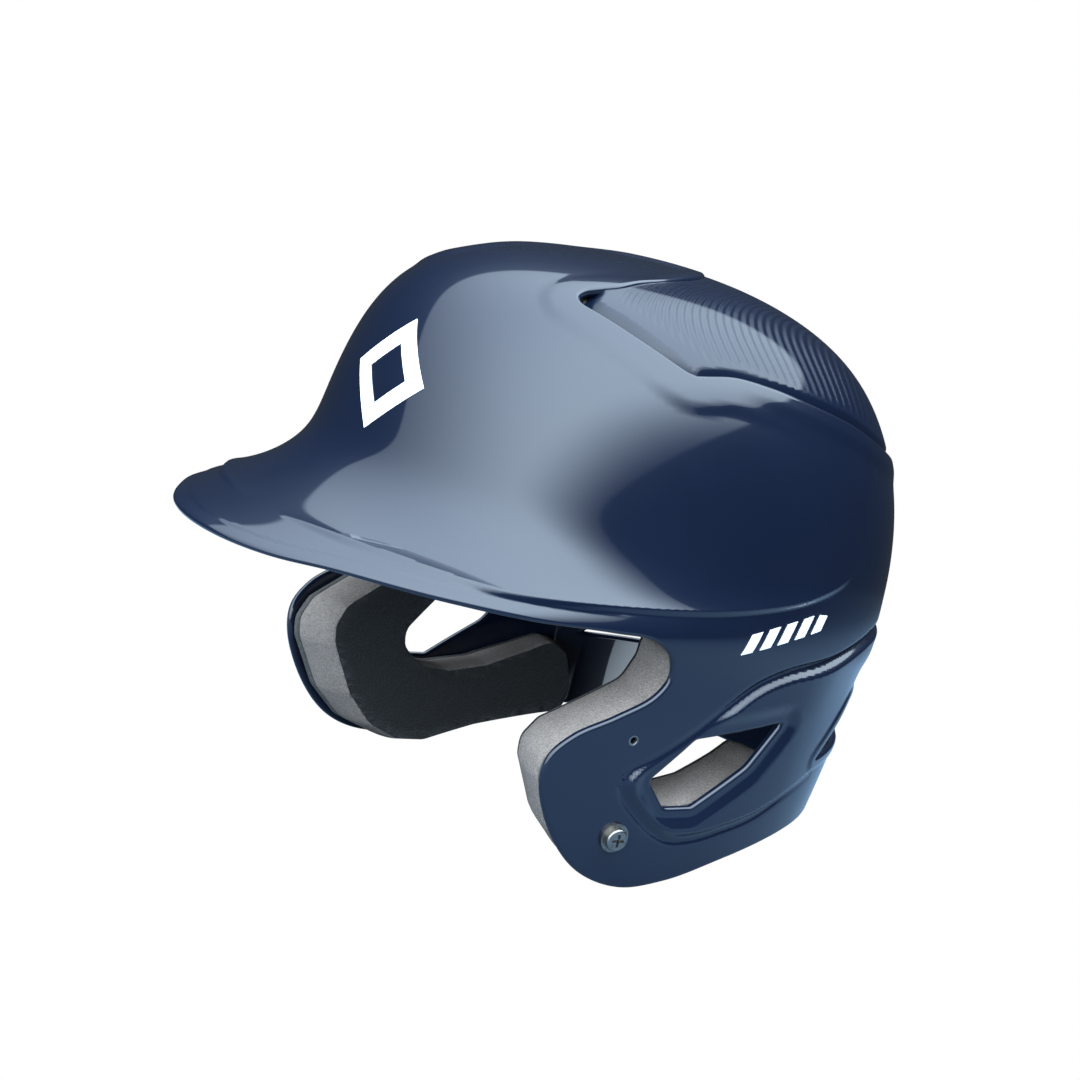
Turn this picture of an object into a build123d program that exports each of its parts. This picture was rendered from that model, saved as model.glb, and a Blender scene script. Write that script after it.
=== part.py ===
"""Batting helmet with two ear flaps: moulded shell, crown panel, padding and fasteners.

Millimetres.  +X is the wearer's left, -Y is the front, +Z is up.  The origin is on the
mid-plane, at the centre of the overall length, level with the bottom of the ear flaps.

The shell is one free-form skin, described by rings from the crown down to the lower edge.
Every layer inside it (panel, pads, covers) is a band of that same skin at its own depth.
"""

from build123d import *
from math import cos, radians, sin
import os

os.makedirs("parts", exist_ok=True)

# ---------------------------------------------------------------- driving dimensions
BELT_Z = 97.5          # height of the belt line (side of the head) above the flap bottoms
CROWN_Y = 8.7          # the crown sits this far behind the middle of the overall length

SHELL_T = 3.2          # wall of the moulded shell
PANEL_SINK = 0.8       # crown panel lies this far below the shell's outer face
PANEL_T = 2.2
SEAT_T = 1.9           # ledge that carries the crown panel
SEAT_W = 7.0
GAP = 0.3              # assembly gap between separate pieces

PAD_TOP = SHELL_T + GAP            # depth of a pad's outer face
LINER_T = 10.5                     # liner foam
COVER_T = 0.8                      # fabric cover on any pad
EAR_BASE_T = 3.0                   # firm base strip of the ear pad
EAR_FOAM_T = 24.0                  # soft foam of the ear pad
CROWN_PAD_TOP = SHELL_T + SEAT_T + GAP

NUT_BORE_R = 1.75                  # M4 thread, at its minor diameter
NUT_BARREL_R = 2.5
NUT_FLANGE_R = 6.0
NUT_FLANGE_T = 1.2
NUT_SINK = 0.4                     # barrel mouth below the shell's outer face
SHELL_HOLE_R = 2.6
WASHER_R, WASHER_T = 5.7, 1.2
HEAD_R, HEAD_H = 4.4, 2.6
SHANK_R, SHANK_L = 1.7, 7.5

# Rings of the skin, from the crown (first) to below the lower edge (last), about the head:
# half width, reach to the front, reach to the rear, height at front, side and rear,
# squareness, and how much wider the front is than an even oval.
RINGS = [
    (0, -5, 5, 119.5, 119.5, 119.5, 0, 0),
    (32, 22, 38, 119.5, 119.5, 119.5, 0, 0),
    (66, 53, 79, 115, 112, 111, 0.03, -0.03),
    (91, 75, 110, 98, 92, 88, 0.06, -0.04),
    (101, 86, 127, 74, 62, 55, 0.07, -0.03),
    (104, 91, 132, 52, 36, 25, 0.08, -0.02),
    (104, 95, 133, 36, 20, 5, 0.08, 0),
    (105, 112, 132, 24, 10, -5, 0.10, 0),
    (106.5, 134, 131, 17, 3, -12, 0.12, 0.02),
    (106, 151, 131, 12, -3, -18, 0.14, 0.03),
    (102.5, 153, 128, 4, -14, -26, 0.14, 0.03),
    (101, 130, 126, -40, -50, -50, 0.14, 0.02),
    (93, 112, 107, -110, -112, -112, 0.12, 0.02),
]
T_CROWN = 0.1          # the skin starts here and a small cap closes the crown
CAP_R = 11.0
T_HEM = 9.97           # below every trimmed edge
T_END = len(RINGS) - 3

# Places on the skin: degrees round from the front, and how far down the rings.
UPPER_NUT_AT = (85.0, 9.39)
LOWER_NUT_AT = (84.0, 9.78)

# Outlines in the side view: distance behind the crown, height above the belt line.
# The lower edge runs under the brim, round the notch, round the ear flap and to the nape.
BRIM_EDGE = [(-180, 9), (-152, 11), (-140, 14), (-126, 15), (-98, 9.8), (-68, 6.3), (-38, 4.2), (-22, 2)]
NOTCH_EDGE = [(-11.5, -5), (-8, -14.5), (-13, -22.5), (-28, -31)]
FLAP_EDGE = [(-43, -38.5), (-51, -47), (-51, -58), (-41, -78), (-27, -91.5), (-8, -97.5)]
NAPE_EDGE = [(12, -95.5), (40, -88), (75, -80.5), (110, -76.5), (160, -76)]
EAR_HOLE = [(-9.5, -54.5), (9, -37), (56, -31.5), (40, -51.5), (16, -67), (1.5, -67)]
REAR_VENT = [(76, -53), (102, -31), (112, -31), (116, -38), (113, -50)]
CROWN_SIDE = [(-60, 106), (0, 97), (32, 91.5), (63, 81.5), (82, 73), (140, 48)]
EAR_PAD = [
    (-5, -8), (-5, -15), (-10, -24), (-43, -41.5), (-48.5, -49), (-48, -56), (-37.5, -76),
    (-25, -88.3), (-10.5, -94.2), (3, -94.5), (27, -87.5), (50, -82.5), (66, -79), (69, -70),
    (66, -57), (59, -52), (48, -57), (30, -69), (12, -73.5), (-3, -71), (-12, -60), (-12, -50),
    (4, -34), (20, -28), (22, -8),
]
# Outlines in the top view, left half: distance to the left, distance behind the crown.
# The shell keeps a tongue on the mid-plane; the panel's edge stands back to leave two vents.
OPENING_FRONT = [(0, 48), (31, -7), (36, -33), (86, -10), (130, -2)]
PANEL_FRONT = [(0, 48), (31, -7), (41, -27), (84, -3), (130, 5)]

SIDE = Plane(origin=(0, CROWN_Y, BELT_Z), x_dir=(0, 1, 0), z_dir=(1, 0, 0))
TOP = Plane(origin=(0, CROWN_Y, BELT_Z), x_dir=(1, 0, 0), z_dir=(0, 0, 1))
FRONT = Plane(origin=(0, CROWN_Y, BELT_Z), x_dir=(1, 0, 0), z_dir=(0, -1, 0))


# ---------------------------------------------------------------- the skin
def ring_point(ring, theta):
    """A point of one ring, theta round from the front towards the wearer's left."""
    width, front, rear, z_front, z_side, z_rear, square, egg = ring
    s, c = sin(theta), cos(theta)
    reach = (front + rear) / 2
    x = width * s * (1 + square * c * c + egg * c)
    y = (rear - front) / 2 - reach * c * (1 + square * s * s)
    z = z_side + (z_front - z_rear) / 2 * c + ((z_front + z_rear) / 2 - z_side) * c * c
    return Vector(x, y + CROWN_Y, z + BELT_Z)


def ring_weights(t):
    """Cubic B-spline blend of four neighbouring rings, clamped at both ends."""
    knots = [0] * 3 + list(range(T_END + 1)) + [T_END] * 3
    t = min(max(t, 0), T_END - 1e-9)
    span = int(t) + 3
    weights = [1.0]
    for degree in (1, 2, 3):
        blended = [0.0] * (degree + 1)
        for i, weight in enumerate(weights):
            low, high = knots[span - degree + 1 + i], knots[span + 1 + i]
            share = (t - low) / (high - low)
            blended[i] += weight * (1 - share)
            blended[i + 1] += weight * share
        weights = blended
    return span - 3, weights


def skin_point(theta, t, depth=0.0):
    """A point of the skin, depth millimetres inside its outer face, and the outward normal."""

    def outer(angle, row):
        first, weights = ring_weights(row)
        return sum((ring_point(RINGS[first + k], angle) * w for k, w in enumerate(weights)),
                   Vector(0, 0, 0))

    step = 1e-3
    around = outer(theta + step, t) - outer(theta - step, t)
    down = outer(theta, t + step) - outer(theta, t - step)
    normal = down.cross(around).normalized()
    return outer(theta, t) - normal * depth, normal


def skin_block(angles, rows, depths, counts=(41, 61)):
    """The solid between two depths of the skin, over a range of angles and of rows."""

    def sheet(depth):
        grid = [[skin_point(radians(angles[0] + (angles[1] - angles[0]) * i / (counts[0] - 1)),
                            rows[0] + (rows[1] - rows[0]) * j / (counts[1] - 1), depth)[0]
                 for j in range(counts[1])] for i in range(counts[0])]
        return Face.make_surface_from_array_of_points(grid, tol=0.02)

    sheets = [sheet(depth) for depth in depths]
    mid_angle, mid_row = sum(angles) / 2, sum(rows) / 2
    rim_points = [(angles[0], mid_row), (angles[1], mid_row), (mid_angle, rows[0]),
                  (mid_angle, rows[1])]
    faces = list(sheets)
    for angle, row in rim_points:
        rims = []
        for face, depth in zip(sheets, depths):
            target = skin_point(radians(angle), row, depth)[0]
            rims.append(min(face.edges(), key=lambda edge: edge.distance_to(target)))
        faces.append(Face.make_surface_from_curves(*rims))
    return Solid(Shell(faces))


def half_skin(depth_out, depth_in):
    """The left half of the whole skin between two depths."""
    return skin_block((0, 180), (T_CROWN, T_HEM), (depth_out, depth_in))


def skin_plane(place):
    """A plane on the skin's outer face, its normal pointing outwards."""
    point, normal = skin_point(radians(place[0]), place[1])
    return Plane(origin=point, x_dir=(0, 1, 0), z_dir=normal)


def prism(plane, outline, reach=(0, 160), rounding=0.0, grow=0.0):
    """An outline on a view plane, extruded between two distances along that view."""
    with BuildPart() as block:
        with BuildSketch(plane.offset(reach[0])):
            with BuildLine():
                Polyline(*outline, close=True)
            make_face()
            if rounding:
                fillet(vertices(), rounding)
            if grow:
                offset(amount=grow)
        extrude(amount=reach[1] - reach[0])
    return block.part


def crown_region(front, grow=0.0):
    """The left part of the crown behind a front outline and above the side outline."""
    right_side = [(-x, y) for x, y in reversed(front[1:])]
    behind = prism(TOP, right_side + front + [(130, 160), (-130, 160)], (20, 140), grow=grow)
    above = prism(SIDE, CROWN_SIDE + [(140, 160), (-60, 160)], (-12, 150), grow=grow)
    return behind & above


def publish(builder, label):
    builder.part.label = label
    export_step(builder.part, f"parts/{label}.step")


def publish_pair(left_part, name):
    """Export a left piece and its mirror image on the right."""
    for side in ("left", "right"):
        with BuildPart() as piece:
            add(left_part)
            if side == "right":
                mirror(about=Plane.YZ, mode=Mode.REPLACE)
        publish(piece, f"{side}_{name}")


# ---------------------------------------------------------------- moulded shell
opening = crown_region(OPENING_FRONT)
opening_grown = crown_region(OPENING_FRONT, grow=4.0)
opening_inset = crown_region(OPENING_FRONT, grow=-SEAT_W)
vent_slot = prism(TOP, OPENING_FRONT[2:4] + PANEL_FRONT[3:1:-1], (60, 140), grow=-0.2)
upper_nut_plane = skin_plane(UPPER_NUT_AT)
lower_nut_plane = skin_plane(LOWER_NUT_AT)
lower_nut_axis = Axis(lower_nut_plane.origin, lower_nut_plane.z_dir)

with BuildPart() as outer_shell:
    add(half_skin(0, SHELL_T))
    add(opening, mode=Mode.SUBTRACT)
    with BuildPart(mode=Mode.PRIVATE) as seat:
        add(half_skin(SHELL_T - 0.2, SHELL_T + SEAT_T))
        add(opening_grown, mode=Mode.INTERSECT)
        add(opening_inset, mode=Mode.SUBTRACT)
    add(seat.part)
    add(vent_slot, mode=Mode.SUBTRACT)
    with BuildSketch(SIDE.offset(-1)):
        with BuildLine():
            edge = Spline(*BRIM_EDGE, *NOTCH_EDGE, *FLAP_EDGE, *NAPE_EDGE)
            Polyline(edge @ 1, (160, -160), (-180, -160), edge @ 0)
        make_face()
    extrude(amount=150, mode=Mode.SUBTRACT)
    add(prism(SIDE, EAR_HOLE, (60, 140), rounding=2.5), mode=Mode.SUBTRACT)
    add(prism(SIDE, REAR_VENT, (20, 130), rounding=2.0), mode=Mode.SUBTRACT)
    for nut_plane in (upper_nut_plane, lower_nut_plane):
        with Locations(nut_plane):
            Cylinder(SHELL_HOLE_R, 20, mode=Mode.SUBTRACT)
    mirror(about=Plane.YZ)
    with Locations((0, CROWN_Y + RINGS[0][2], BELT_Z + RINGS[0][3])):
        Cylinder(CAP_R, SHELL_T, align=(Align.CENTER, Align.CENTER, Align.MAX))
publish(outer_shell, "outer_shell")



# ---------------------------------------------------------------- crown panel
with BuildPart() as crown_panel:
    add(half_skin(PANEL_SINK, PANEL_SINK + PANEL_T))
    add(crown_region(PANEL_FRONT, grow=-GAP), mode=Mode.INTERSECT)
    mirror(about=Plane.YZ)
publish(crown_panel, "crown_panel")


# ---------------------------------------------------------------- printed marks
DECAL = (-0.3, -0.04)       # outer and inner face of a printed mark, outside the skin
DIAMOND_W, DIAMOND_H, DIAMOND_Z = 23.0, 21.0, 70.0     # half sizes and height of the front mark
DIAMOND_HOLE = 0.55
BAR_COUNT, BAR_W, BAR_GAP, BAR_H, BAR_SLANT = 5, 5.0, 3.4, 8.0, 3.0
BAR_START, BAR_RISE = (19.0, -4.5), 0.22

with BuildPart() as front_mark:
    add(skin_block((-28, 28), (2.0, 4.6), DECAL, (15, 13)))
    with BuildSketch(FRONT.offset(40)):
        with Locations((0, DIAMOND_Z)):
            for share, how in ((1, Mode.ADD), (DIAMOND_HOLE, Mode.SUBTRACT)):
                w, h = DIAMOND_W * share, DIAMOND_H * share
                Polygon((-w, 0), (0, -h), (w, 0), (0, h), mode=how)
    extrude(amount=80, mode=Mode.INTERSECT)
publish(front_mark, "front_mark")

with BuildPart() as side_mark:
    add(skin_block((88, 125), (5.5, 9.2), DECAL, (15, 15)))
    with BuildSketch(SIDE.offset(50)):
        for k in range(BAR_COUNT):
            y = BAR_START[0] + k * (BAR_W + BAR_GAP)
            z = BAR_START[1] + k * (BAR_W + BAR_GAP) * BAR_RISE
            with BuildLine():
                Polyline((y, z), (y + BAR_W, z + BAR_W * BAR_RISE),
                         (y + BAR_W + BAR_SLANT, z + BAR_W * BAR_RISE + BAR_H),
                         (y + BAR_SLANT, z + BAR_H), close=True)
            make_face()
    extrude(amount=80, mode=Mode.INTERSECT)
publish_pair(side_mark.part, "side_mark")


# ---------------------------------------------------------------- liner pads
def liner_pad(name, angles, rows, depth, counts=(21, 17), paired=False):
    """A foam pad against the shell, and the fabric cover on its inner face."""
    foam = skin_block(angles, rows, (depth, depth + LINER_T), counts)
    cover = skin_block(angles, rows, (depth + LINER_T, depth + LINER_T + COVER_T), counts)
    for solid, kind in ((foam, "foam"), (cover, "cover")):
        with BuildPart() as piece:
            add(solid)
        if paired:
            publish_pair(piece.part, f"{name}_{kind}")
        else:
            publish(piece, f"{name}_{kind}")


liner_pad("front_pad", (-46, 46), (2.7, 4.7), PAD_TOP)
liner_pad("rear_pad", (143, 217), (3.9, 9.5), PAD_TOP, (21, 31))
liner_pad("side_pad", (60, 124), (2.9, 6.0), PAD_TOP, paired=True)
liner_pad("crown_pad", (25, 155), (0.4, 1.5), CROWN_PAD_TOP, paired=True)


# ---------------------------------------------------------------- ear pads
ear_outline = prism(SIDE, EAR_PAD, (40, 130))
ear_layers = {}
top = PAD_TOP
for kind, thickness in (("base", EAR_BASE_T), ("foam", EAR_FOAM_T), ("cover", COVER_T)):
    with BuildPart() as layer:
        add(skin_block((55, 140), (7.6, T_HEM), (top, top + thickness), (31, 25)))
        add(ear_outline, mode=Mode.INTERSECT)
        for nut_plane in (upper_nut_plane, lower_nut_plane):
            with Locations(nut_plane.offset(-PAD_TOP)):
                Cylinder(NUT_FLANGE_R + 0.5, 10, mode=Mode.SUBTRACT)
    publish_pair(layer.part, f"ear_pad_{kind}")
    top += thickness


# ---------------------------------------------------------------- guard fasteners
def t_nut(plane):
    """A flanged barrel nut pressed in from inside, its mouth just below the outer face."""
    seat_depth = SHELL_T + GAP
    with BuildPart() as nut:
        with BuildSketch(plane.offset(-seat_depth - NUT_FLANGE_T)):
            Circle(NUT_FLANGE_R)
        extrude(amount=NUT_FLANGE_T)
        with BuildSketch(plane.offset(-seat_depth - NUT_FLANGE_T)):
            Circle(NUT_BARREL_R)
        extrude(amount=seat_depth + NUT_FLANGE_T - NUT_SINK)
        with Locations(plane):
            Cylinder(NUT_BORE_R, 30, mode=Mode.SUBTRACT)
    return nut.part


publish_pair(t_nut(upper_nut_plane), "upper_t_nut")
publish_pair(t_nut(lower_nut_plane), "lower_t_nut")

with BuildPart() as guard_washer:
    with BuildSketch(lower_nut_plane):
        Circle(WASHER_R)
        Circle(SHANK_R + 0.3, mode=Mode.SUBTRACT)
    extrude(amount=WASHER_T)
publish_pair(guard_washer.part, "guard_washer")

with BuildPart() as guard_screw:
    with BuildSketch(lower_nut_plane.offset(WASHER_T)):
        Circle(HEAD_R)
    extrude(amount=HEAD_H)
    fillet(guard_screw.edges().filter_by(GeomType.CIRCLE).sort_by(lower_nut_axis)[-1], 1.0)
    with BuildSketch(lower_nut_plane.offset(WASHER_T + HEAD_H - 1.4)):
        Rectangle(5.0, 1.1)
        Rectangle(1.1, 5.0)
    extrude(amount=2, mode=Mode.SUBTRACT)
    with BuildSketch(lower_nut_plane.offset(WASHER_T - SHANK_L)):
        Circle(SHANK_R)
    extrude(amount=SHANK_L)
publish_pair(guard_screw.part, "guard_screw")
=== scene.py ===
"""The looks of a batting helmet: glossy shell, ridged crown panel, padding and fasteners.

The shell is a free-form skin described by the same rings as the CAD model.  The shell, the
crown panel and the pads are plates cut out of that skin: an outline drawn on the skin, an
outer and an inner depth, and a rolled rim joining the two.  The printed marks and the
fasteners are the CAD model's own, with materials added.
"""

from math import cos, pi, radians, sin

import bpy
import numpy as np
from mathutils import Matrix, Vector
from mathutils.geometry import delaunay_2d_cdt


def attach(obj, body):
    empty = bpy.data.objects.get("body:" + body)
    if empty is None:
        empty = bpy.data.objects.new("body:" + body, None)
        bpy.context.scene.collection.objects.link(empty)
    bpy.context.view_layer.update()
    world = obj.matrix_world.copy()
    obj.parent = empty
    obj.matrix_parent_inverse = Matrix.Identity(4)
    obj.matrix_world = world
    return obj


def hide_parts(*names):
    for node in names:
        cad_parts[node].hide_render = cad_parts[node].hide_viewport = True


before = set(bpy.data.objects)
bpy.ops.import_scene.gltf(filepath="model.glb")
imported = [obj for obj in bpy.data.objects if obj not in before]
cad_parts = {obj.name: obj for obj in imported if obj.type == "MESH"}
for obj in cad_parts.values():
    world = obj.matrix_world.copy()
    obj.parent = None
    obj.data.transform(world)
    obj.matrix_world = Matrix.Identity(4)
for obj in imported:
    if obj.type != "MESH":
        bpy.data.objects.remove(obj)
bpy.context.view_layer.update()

MM = 0.001
BELT_Z = 97.5            # height of the belt line above the flap bottoms
CROWN_Y = 8.7            # the crown lies this far behind the origin
SHELL_T = 3.2            # thickness of the shell
PAD_TOP = 3.5            # depth of a pad's outer face under the skin
CROWN_PAD_TOP = 5.4      # the same under the crown panel
LINER_T = 10.5           # foam of the front, side, crown and rear pads
# The ear pads' base strip is dark grey foam; its dark grey is also painted shade for the gap
# between the shell's rim and the light ear foam.
EAR_BASE_T = 3.0         # firm strip behind the ear foam
EAR_FOAM_T = 24.0
COVER_T = 0.8            # fabric face
BRIM_START = 100         # the brim stretches forward of this far in front of the head's centre
BRIM_REACH = 0.0016      # how fast it does, per mm
NEAR = 1e-3              # step along the skin's angle or row for a slope

# ---------------------------------------------------------------- the skin
# Half width, reach to the front, reach to the rear, height at front, side and rear,
# squareness, and how much wider the front is than an even oval.
RINGS = np.array([
    (0, -5, 5, 119.5, 119.5, 119.5, 0, 0),
    (32, 22, 38, 119.5, 119.5, 119.5, 0, 0),
    (66, 53, 79, 115, 112, 111, 0.03, -0.03),
    (91, 75, 110, 98, 92, 88, 0.06, -0.04),
    (101, 86, 127, 74, 62, 55, 0.07, -0.03),
    (104, 91, 132, 52, 36, 25, 0.08, -0.02),
    (104, 95, 133, 36, 20, 5, 0.08, 0),
    (105, 112, 132, 24, 10, -5, 0.10, 0),
    (106.5, 134, 131, 17, 3, -12, 0.12, 0.02),
    (106, 151, 131, 12, -3, -18, 0.14, 0.03),
    (102.5, 153, 128, 4, -14, -26, 0.14, 0.03),
    (101, 130, 126, -40, -50, -50, 0.14, 0.02),
    (93, 112, 107, -110, -112, -112, 0.12, 0.02),
])
T_END = len(RINGS) - 3


def ring_weights(t):
    """Cubic B-spline weights, clamped at both ends: the first ring's index and four weights."""
    knots = np.concatenate([[0] * 3, np.arange(T_END + 1), [T_END] * 3]).astype(float)
    t = np.clip(t, 0, T_END - 1e-9)
    span = t.astype(int) + 3
    weights = [np.ones_like(t)]
    for degree in (1, 2, 3):
        blended = [np.zeros_like(t) for _ in range(degree + 1)]
        for i, weight in enumerate(weights):
            low, high = knots[span - degree + 1 + i], knots[span + 1 + i]
            share = (t - low) / (high - low)
            blended[i] += weight * (1 - share)
            blended[i + 1] += weight * share
        weights = blended
    return span - 3, weights


def skin(theta, t):
    """Points of the outer skin, in millimetres about the head."""
    theta, t = np.broadcast_arrays(np.asarray(theta, float), np.asarray(t, float))
    s, c = np.sin(theta), np.cos(theta)
    first, weights = ring_weights(t)
    point = np.zeros(theta.shape + (3,))
    for k, weight in enumerate(weights):
        width, front, rear, zf, zs, zr, square, egg = np.moveaxis(RINGS[first + k], -1, 0)
        reach = (front + rear) / 2
        point[..., 0] += weight * width * s * (1 + square * c * c + egg * c)
        point[..., 1] += weight * ((rear - front) / 2 - reach * c * (1 + square * s * s))
        point[..., 2] += weight * (zs + (zf - zr) / 2 * c + ((zf + zr) / 2 - zs) * c * c)
    point[..., 1] -= BRIM_REACH * np.maximum(-point[..., 1] - BRIM_START, 0) ** 2
    return point


def unit(v):
    """Vectors scaled to length 1."""
    return v / np.maximum(np.linalg.norm(v, axis=-1, keepdims=True), 1e-12)


def skin_normal(theta, t):
    """The skin's outward direction."""
    around = skin(theta + NEAR, t) - skin(theta - NEAR, t)
    off_crown = np.maximum(t, 0.01)
    down = skin(theta, off_crown + NEAR) - skin(theta, off_crown - NEAR)
    return unit(np.cross(down, around))


def step(x, width):
    """A smooth rise from 0 to 1 while x goes from 0 to width."""
    u = np.clip(x / width, 0, 1)
    return u * u * (3 - 2 * u)


def on_skin(places):
    """Points of the skin for rows of angle and row."""
    return skin(places[:, 0], places[:, 1])


def below_skin(theta, t, depth):
    """Points at a depth under the skin."""
    return skin(theta, t) - np.asarray(depth)[..., None] * skin_normal(theta, t)


def find(target, axes, start, depth=0.0):
    """The angle and row where two coordinates of the skin, or of a depth under it, hit a target."""
    axes = list(axes)
    place = np.array(start, float)
    for _ in range(40):
        here = below_skin(*place, depth)[axes]
        miss = here - target
        if np.abs(miss).max() < 1e-5:
            break
        h = 1e-4
        slope = np.stack([(below_skin(place[0] + h, place[1], depth)[axes] - here) / h,
                          (below_skin(place[0], place[1] + h, depth)[axes] - here) / h], 1)
        move = np.linalg.solve(slope + 1e-9 * np.eye(2), miss)
        place -= move * min(1, 0.5 / max(np.abs(move).max(), 1e-9))
    return place


SIDE_VIEW, TOP_VIEW = (1, 2), (0, 1)     # which coordinates an outline is drawn in


def trace(outline, axes, start, depth=0.0):
    """Follows an outline drawn in a view along the skin: angle and row of every point."""
    places = []
    for target in outline:
        start = find(np.array(target), axes, start, depth)
        places.append(start)
    return np.array(places)


def row_at_height(theta, outline, row):
    """The row where the skin at an angle meets a line drawn in the side view."""
    ys, zs = np.array(outline).T
    for _ in range(60):
        point = skin(theta, row)
        miss = point[2] - np.interp(point[1], ys, zs)
        slope = (skin(theta, row + NEAR)[2] - point[2]) / NEAR
        row -= np.clip(miss / slope, -0.2, 0.2)
    return row


def sweep_row(start, end_theta, count, outline):
    """Follows a line drawn in the side view from a place to an angle, leaving out the start."""
    places, row = [], start[1]
    for theta in np.linspace(start[0], end_theta, count)[1:]:
        row = row_at_height(theta, outline, row)
        places.append((theta, row))
    return places


def meridian(theta, start, end, spacing=1.5):
    """Places along one angle of the skin, from one row to another, evenly spaced."""
    rows = np.linspace(start, end, 400)
    run = np.linalg.norm(np.diff(skin(np.full(len(rows), theta), rows), axis=0), axis=-1)
    run = np.concatenate([[0], np.cumsum(run)])
    count = max(int(run[-1] / spacing), 2)
    return np.stack([np.full(count + 1, theta),
                     np.interp(np.linspace(0, run[-1], count + 1), run, rows)], -1)


# A flat chart of the skin that keeps angles, so that triangles made in it stay good.
chart_rows = np.linspace(0.02, T_END, 1200)
probe_angles = np.linspace(0.05, pi - 0.05, 40)[:, None]
probes = skin(probe_angles, chart_rows)
per_row = np.linalg.norm(skin(probe_angles, chart_rows + NEAR) - probes, axis=-1) / NEAR
per_angle = np.linalg.norm(skin(probe_angles + NEAR, chart_rows) - probes, axis=-1) / NEAR
rate = per_row.mean(0) / per_angle.mean(0)
growth = np.cumsum((rate[1:] + rate[:-1]) / 2 * np.diff(chart_rows))
chart_radii = 1e-3 * np.exp(np.concatenate([[0], growth]))


def chart(theta, t):
    """Where a place of the skin lies on the flat chart."""
    r = np.interp(t, chart_rows, chart_radii)
    return np.stack([r * np.sin(theta), -r * np.cos(theta)], -1)


# ---------------------------------------------------------------- lines
def smooth_line(points, spacing=1.5, closed=False):
    """A Catmull-Rom line through the points, sampled about every spacing millimetres."""
    p = np.array(points, float)
    if closed:
        p = np.vstack([p[-1], p, p[0], p[1]])
    else:
        p = np.vstack([2 * p[0] - p[1], p, 2 * p[-1] - p[-2]])
    line = []
    for a, b, c, d in zip(p, p[1:], p[2:], p[3:]):
        ka, kb, kc = (np.sqrt(np.linalg.norm(v)) + 1e-9 for v in (b - a, c - b, d - c))
        mb = (b - a) / ka * kb * kb / (ka + kb) + (c - b) / kb * ka * kb / (ka + kb)
        mc = (c - b) / kb * kc * kb / (kb + kc) + (d - c) / kc * kb * kb / (kb + kc)
        count = max(int(np.linalg.norm(c - b) / spacing + 0.5), 1)
        u = (np.arange(count) / count)[:, None]
        line.append((2 * u**3 - 3 * u**2 + 1) * b + (u**3 - 2 * u**2 + u) * mb
                    + (3 * u**2 - 2 * u**3) * c + (u**3 - u**2) * mc)
    if not closed:
        line.append(p[-2][None])
    return np.vstack(line)


def round_corners(points, radius, spacing=1.5):
    """A closed outline whose corners are rounded to about the given radius."""
    p = np.array(points, float)
    radius = np.broadcast_to(radius, len(p))
    line, ends = [], []
    for i in range(len(p)):
        before, at, after = p[i - 1], p[i], p[(i + 1) % len(p)]
        u, v = unit(before - at), unit(after - at)
        half = np.arccos(np.clip(u @ v, -1, 1)) / 2
        cut = min(radius[i] / np.tan(half), 0.45 * np.linalg.norm(before - at),
                  0.45 * np.linalg.norm(after - at))
        ends.append((at + u * cut, at, at + v * cut))
    for i, (start, at, end) in enumerate(ends):
        count = max(int(np.linalg.norm(end - start) / spacing * 1.5), 4)
        u = np.linspace(0, 1, count)[:, None]
        line.append((1 - u) ** 2 * start + 2 * u * (1 - u) * at + u * u * end)
        nxt = ends[(i + 1) % len(ends)][0]
        count = max(int(np.linalg.norm(nxt - end) / spacing), 1)
        u = (np.arange(1, count) / count)[:, None]
        line.append(end + (nxt - end) * u)
    return np.vstack([part for part in line if len(part)])


def inside(points, outline):
    """Which flat points lie inside a closed outline."""
    result = np.zeros(len(points), bool)
    x, y = points[:, 0], points[:, 1]
    for (ax, ay), (bx, by) in zip(outline, np.roll(outline, -1, 0)):
        crosses = (ay > y) != (by > y)
        with np.errstate(divide="ignore", invalid="ignore"):
            result ^= crosses & (x < (bx - ax) * (y - ay) / (by - ay) + ax)
    return result


def distance(points, line, normals=None, closed=False):
    """How far each point is from a line in space.

    With normals, the distance is positive to the left of the line's direction, seen from
    outside, and negative to its right.
    """
    a = line if closed else line[:-1]
    b = np.roll(line, -1, 0) if closed else line[1:]
    best = np.full(len(points), 1e9)
    side = np.ones(len(points))
    for p, q in zip(a, b):
        d = q - p
        length2 = d @ d
        if length2 < 1e-12:
            continue
        u = np.clip((points - p) @ d / length2, 0, 1)
        away = points - (p + u[:, None] * d)
        gap = np.einsum("ij,ij->i", away, away)
        closer = gap < best
        best[closer] = gap[closer]
        if normals is not None:
            sign = np.einsum("ij,ij->i", np.cross(d, away[closer]), normals[closer])
            side[closer] = np.where(sign >= 0, 1, -1)
    return np.sqrt(best) * side


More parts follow.
